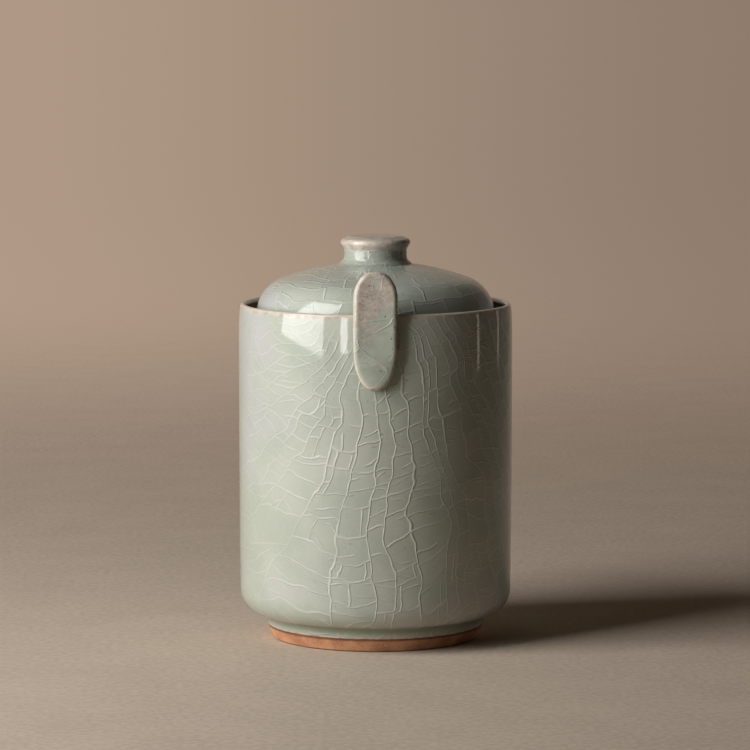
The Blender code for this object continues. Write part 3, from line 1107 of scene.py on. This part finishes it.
def tabMaterial():
    f = tabFinish
    half = tabHalf * mm
    topRound = tab["topRound"] * mm
    footRound = tab["footRound"] * mm
    topCentre = tabHigh.z * mm - topRound
    footCentre = tabLow.z * mm + footRound

    def onEdge(paint, spot, *ramp):
        # the tab's rounded outline, at the front only
        x, y, z = paint.split(spot)
        up = ((z - topCentre) / topRound).most(0)
        down = ((footCentre - z) / footRound).most(0)
        power = tab["curvePower"]
        outwards = abs(x / half) ** power + up**power + down**power
        return paint.ramp(outwards, *ramp) * paint.ramp(y + tabFront * mm, *f["edgeDepth"])

    def thin(paint, spot):
        x, _, z = paint.split(spot)
        worn = paint.noise(spot, *f["wornNoise"]) + paint.ramp(z, *f["wornUp"]) + x * f["wornAcross"]
        worn = paint.ramp(paint.ragged(worn, spot, *f["wornRagged"]), *f["worn"])
        return onEdge(paint, spot, *f["edgeThin"]).most(worn)

    def pool(paint, spot):
        x, _, z = paint.split(spot)
        low = paint.noise(spot, *f["poolNoise"]) + x * f["poolAcross"] + z * f["poolUp"]
        return paint.ramp(low, *f["pool"])

    def crest(paint, spot):
        # a painted highlight: the edge is painted palest on its left, where the light falls on it
        onLeft = paint.ramp(paint.split(spot)[0] / half, *f["leftHighlight"])
        return onEdge(paint, spot, *f["edgeHighlight"]) * onLeft

    def cracks(paint, spot):
        return cellCrackle(paint, spot, f["cellSize"], f["crackWidth"])

    return glazeMaterial("tab glaze", thin, pool, cracks, manySpots, crest)


pieces = [makeJar(), makeFoot(), makeLid(), makeKnob(), makeSeal(), makeTab()]
print("object made")

studio = {
    "floorRadius": 1.75,
    "bend": 0.55,
    "bendSteps": 16,
    "wallHeight": 2.4,
    "steps": 96,
    "floor": (0.602, 0.494, 0.395, 1),
    "floorDark": (0.515, 0.422, 0.335, 1),
    "shade": (0.09, 0.066, 0.046, 1),
    "unlit": (0, 0, 0, 1),
    "wallGlow": (0.411, 0.306, 0.233, 1),
    "ambient": (0.006, 0.0045, 0.003, 1),
    "sheen": {"IOR": 1.3, "Specular_IOR_Level": 0.1, "Emission_Strength": 1.0},
    "weaveNoise": (2.2, 4),
    "weaveShare": 0.75,
    "blotchNoise": (28, 2),
    "paper": (0.36, 0.64),
    "shadeInFront": (210, 700),
    "shadeFarOff": (700, 1500),
    "roughness": 0.85,
    "roughnessVaries": 0.1,
    "glowBehind": (20, 1370),
    "glowFanHub": 1500,
    "glowFanLeast": 300,
    "glowToRight": (-0.11, 0.11, 1.0, 0.60),
    "glowToSides": (0.12, 0.35, 1, 0.2),
    "glowOnLeft": (-350, -1300, 0, 0.3),
    "glowEndsUp": (250, 2300),
}


def makeStage():
    # a round pale floor that bends up into a wall all the way round
    s = studio
    bm = wireOutline([
        (0, 0),
        (s["floorRadius"], 0, s["bend"]),
        (s["floorRadius"], s["wallHeight"]),
    ], segments=s["bendSteps"])
    turn(bm, s["steps"])
    bmesh.ops.reverse_faces(bm, faces=bm.faces)
    mesh = bpy.data.meshes.new("studioFloor")
    bm.to_mesh(mesh)
    bm.free()
    mesh.shade_smooth()
    mesh.materials.append(stageMaterial())
    floor = bpy.data.objects.new("studioFloor", mesh)
    bpy.context.collection.objects.link(floor)


def stageMaterial():
    # paper that is darker away from the caddy, with a wall that glows behind it and on the left
    s = studio
    paint = Paint("studio paper", **s["sheen"])
    spot = paint.spot()
    x, y, z = paint.split(spot)
    weave = paint.noise(spot, *s["weaveNoise"])
    blotch = weave * s["weaveShare"] + paint.noise(spot, *s["blotchNoise"]) * (1 - s["weaveShare"])
    colour = paint.mix(paint.ramp(blotch, *s["paper"]), s["floor"], s["floorDark"])
    front = y.least(0)
    shade = paint.ramp((x * x + front * front) ** 0.5, *s["shadeInFront"])
    shade = shade.most(paint.ramp(paint.radius(spot), *s["shadeFarOff"]))
    paint.feed("Base Color", paint.mix(shade, colour, s["shade"]))
    paint.feed("Roughness", s["roughness"] + weave * s["roughnessVaries"])
    across = x / (y + s["glowFanHub"]).most(s["glowFanLeast"])
    side = paint.ramp(across, *s["glowToRight"]) * paint.ramp(abs(across), *s["glowToSides"])
    behind = paint.ramp(y, *s["glowBehind"]) * side
    glow = paint.mix(behind.most(paint.ramp(x, *s["glowOnLeft"])), s["unlit"], s["wallGlow"])
    paint.feed("Emission Color", paint.mix(paint.ramp(z, *s["glowEndsUp"]), glow, s["ambient"]))
    return paint.material


lights = {
    "windowKey": {
        "azimuth": -51.5, "distance": 0.65, "aside": -0.127, "foot": 0.0435,
        "width": 0.49, "height": 0.78, "power": 9.5, "roll": -2.8,
    },
    "windowPane": {
        "azimuth": -25.3, "distance": 0.65, "foot": 0.0365,
        "width": 0.064, "height": 0.1875, "power": 0.41, "gleam": (1, 1, 0.97),
    },
    "sideStripNear": {
        "azimuth": 92.9, "distance": 0.65, "foot": 0.026,
        "width": 0.028, "height": 0.18, "power": 0.029, "gleam": (1, 0.88, 0.70),
    },
    "sideStripFar": {
        "azimuth": 121.9, "distance": 0.65, "foot": 0.026,
        "width": 0.028, "height": 0.18, "power": 0.0135, "gleam": (1, 0.88, 0.70),
    },
    "backFill": {
        "azimuth": 155, "distance": 0.9, "foot": 0.03,
        "width": 0.8, "height": 0.4, "power": 3.0, "fill": True,
    },
}


def makeLight(name, azimuth, distance, foot, width, height, power, aside=0, roll=0, gleam=None, fill=False):
    # an upright softbox whose lower edge is at foot; azimuth 0 is at the camera, minus is to the
    # left; aside slides it along its own plane and roll leans it there; a gleam is the colour of a
    # light that shows in gloss only, and a fill never shows there
    turned = math.radians(azimuth)
    data = bpy.data.lights.new(name, "AREA")
    data.shape = "RECTANGLE"
    data.size = width
    data.size_y = height
    data.energy = power
    light = bpy.data.objects.new(name, data)
    bpy.context.collection.objects.link(light)
    outwards = Vector((math.sin(turned), -math.cos(turned), 0))
    sideways = Vector((math.cos(turned), math.sin(turned), 0))
    light.location = Vector((0, axisY, foot + height / 2)) + outwards * distance + sideways * aside
    light.rotation_euler = (-outwards).to_track_quat("-Z", "Y").to_euler()
    light.rotation_euler.rotate_axis("Z", math.radians(roll))
    light.visible_camera = False
    light.visible_glossy = not fill
    if gleam:
        light.visible_diffuse = False
        data.color = gleam
    return light


camera = {
    "lens": 191.52,
    "sensor": 36,
    "left": -0.00018,
    "back": 1.3058,
    "height": 0.2280,
    "down": 6.19,
    "nearest": 0.05,
    "farthest": 20,
}


def makeCamera():
    c = camera
    data = bpy.data.cameras.new("camera")
    data.sensor_width = c["sensor"]
    data.lens = c["lens"]
    data.clip_start = c["nearest"]
    data.clip_end = c["farthest"]
    seen = bpy.data.objects.new("camera", data)
    bpy.context.collection.objects.link(seen)
    seen.location = (c["left"], axisY - c["back"], c["height"])
    seen.rotation_euler = (math.radians(90 - c["down"]), 0, 0)
    bpy.context.scene.camera = seen


makeStage()
lit = bpy.data.collections.new("litByBackFill")  # the floor isn't in it
for piece in pieces:
    lit.objects.link(piece)
for name, settings in lights.items():
    light = makeLight(name, **settings)
    if name == "backFill":
        light.light_linking.receiver_collection = lit
makeCamera()
world = bpy.data.worlds.new("studio air")
world.use_nodes = True
world.node_tree.nodes["Background"].inputs["Color"].default_value = studio["ambient"]
bpy.context.scene.world = world
bpy.context.scene.view_settings.view_transform = "Standard"
print("studio lit")
